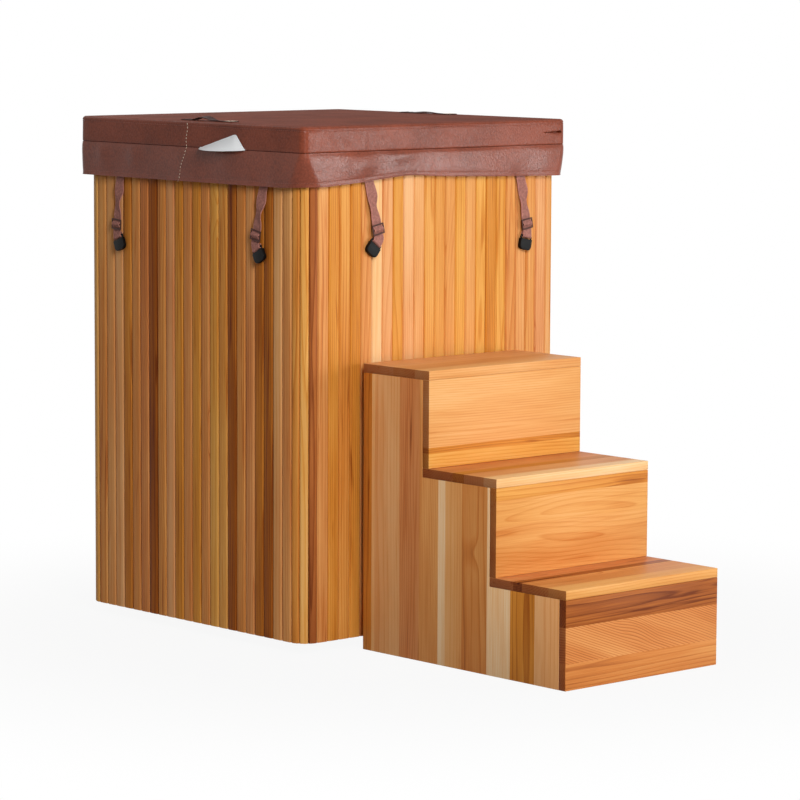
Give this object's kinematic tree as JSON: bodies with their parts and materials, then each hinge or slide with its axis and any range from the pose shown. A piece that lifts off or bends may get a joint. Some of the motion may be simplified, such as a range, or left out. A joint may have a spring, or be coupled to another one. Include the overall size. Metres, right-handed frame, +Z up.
{
  "type": "cold plunge tub",
  "caption": "Tall square cedar-clad cold plunge tub with a padded vinyl lid, hanging skirt and tie-down straps, a drain valve and a free-standing cedar step stair.",
  "frame": {"origin": "on the floor, under the middle of the cabinet, at the underside of the centre runner", "axes": "+X along the front to the right, +Y from the front to the back, +Z up; the stair stands in front, on the -Y side"},
  "size_m": [0.7666, 1.4613, 1.1169],
  "materials": {
    "cedar_staves": "oiled red cedar staves, mixed tones",
    "cedar_boards": "oiled red cedar boards, edge glued",
    "frame_softwood": "sawn softwood",
    "vinyl": "brown leather-grain vinyl",
    "webbing": "woven brown webbing",
    "foam": "closed-cell foam",
    "vessel_plastic": "moulded polyethylene",
    "black_plastic": "moulded black acetal",
    "tag_sheet": "blank white spun-bonded sheet",
    "pipe_plastic": "moulded grey pipe plastic",
    "valve_brass": "cast brass, satin",
    "lever_paint": "red dipped steel"
  },
  "bodies": {
    "cabinet": {"runner_left": "frame_softwood", "runner_centre": "frame_softwood", "runner_right": "frame_softwood", "base_deck": "frame_softwood", "frame_ring_lower": "frame_softwood", "frame_ring_upper": "frame_softwood", "frame_post_front_left": "frame_softwood", "frame_post_front_right": "frame_softwood", "frame_post_back_right": "frame_softwood", "frame_post_back_left": "frame_softwood", "insulation_wrap": "foam", "vessel": "vessel_plastic", "cladding_front": "cedar_staves", "cladding_right": "cedar_staves", "cladding_back": "cedar_staves", "cladding_left": "cedar_staves", "drain_fitting": "pipe_plastic", "drain_strainer": "pipe_plastic", "drain_valve": "valve_brass"},
    "lid": {"lid_jacket": "vinyl", "lid_foam": "foam", "lid_liner": "vinyl", "lid_skirt": "vinyl", "lid_handle_left": "webbing", "lid_handle_right": "webbing", "lid_tag": "tag_sheet"},
    "drain_lever": {"drain_lever": "lever_paint"},
    "stair": {"stair_side_left": "cedar_boards", "stair_side_right": "cedar_boards", "stair_tread_1": "cedar_boards", "stair_riser_1": "cedar_boards", "stair_tread_2": "cedar_boards", "stair_riser_2": "cedar_boards", "stair_tread_3": "cedar_boards", "stair_riser_3": "cedar_boards", "stair_back_rail": "cedar_boards"},
    "strap_front_a": {"strap_front_a": "webbing", "slider_front_a": "black_plastic", "clip_front_a": "black_plastic"},
    "strap_front_b": {"strap_front_b": "webbing", "slider_front_b": "black_plastic", "clip_front_b": "black_plastic"},
    "strap_right_a": {"strap_right_a": "webbing", "slider_right_a": "black_plastic", "clip_right_a": "black_plastic"},
    "strap_right_b": {"strap_right_b": "webbing", "slider_right_b": "black_plastic", "clip_right_b": "black_plastic"},
    "strap_back_a": {"strap_back_a": "webbing", "slider_back_a": "black_plastic", "clip_back_a": "black_plastic"},
    "strap_back_b": {"strap_back_b": "webbing", "slider_back_b": "black_plastic", "clip_back_b": "black_plastic"},
    "strap_left_a": {"strap_left_a": "webbing", "slider_left_a": "black_plastic", "clip_left_a": "black_plastic"},
    "strap_left_b": {"strap_left_b": "webbing", "slider_left_b": "black_plastic", "clip_left_b": "black_plastic"}
  },
  "joints": [
    {"name": "lid_lift", "type": "slide", "parent": "cabinet", "child": "lid", "axis": [0, 0, 1], "range_m": [0, 0.4]},
    {"name": "drain_lever_turn", "type": "hinge", "parent": "cabinet", "child": "drain_lever", "pos_m": [0, 0.4183, 0.1296], "axis": [0, 0, 1], "range_deg": [0, 90]},
    {"name": "stair_pull", "type": "slide", "parent": "cabinet", "child": "stair", "axis": [0, -1, 0], "range_m": [0, 0.6]},
    {"name": "strap_front_a_swing", "type": "hinge", "parent": "lid", "child": "strap_front_a", "pos_m": [-0.193, -0.3769, 0.98959], "axis": [-1, 0, 0], "range_deg": [0, 85]},
    {"name": "strap_front_b_swing", "type": "hinge", "parent": "lid", "child": "strap_front_b", "pos_m": [0.248, -0.3769, 0.98483], "axis": [-1, 0, 0], "range_deg": [0, 85]},
    {"name": "strap_right_a_swing", "type": "hinge", "parent": "lid", "child": "strap_right_a", "pos_m": [0.3769, -0.243, 0.98049], "axis": [0, -1, 0], "range_deg": [0, 85]},
    {"name": "strap_right_b_swing", "type": "hinge", "parent": "lid", "child": "strap_right_b", "pos_m": [0.3769, 0.245, 0.9782], "axis": [0, -1, 0], "range_deg": [0, 85]},
    {"name": "strap_back_a_swing", "type": "hinge", "parent": "lid", "child": "strap_back_a", "pos_m": [0.193, 0.3769, 0.9782], "axis": [1, 0, 0], "range_deg": [0, 85]},
    {"name": "strap_back_b_swing", "type": "hinge", "parent": "lid", "child": "strap_back_b", "pos_m": [-0.248, 0.3769, 0.9782], "axis": [1, 0, 0], "range_deg": [0, 85]},
    {"name": "strap_left_a_swing", "type": "hinge", "parent": "lid", "child": "strap_left_a", "pos_m": [-0.3769, 0.243, 0.9782], "axis": [0, 1, 0], "range_deg": [0, 85]},
    {"name": "strap_left_b_swing", "type": "hinge", "parent": "lid", "child": "strap_left_b", "pos_m": [-0.3769, -0.245, 0.9782], "axis": [0, 1, 0], "range_deg": [0, 85]}
  ]
}
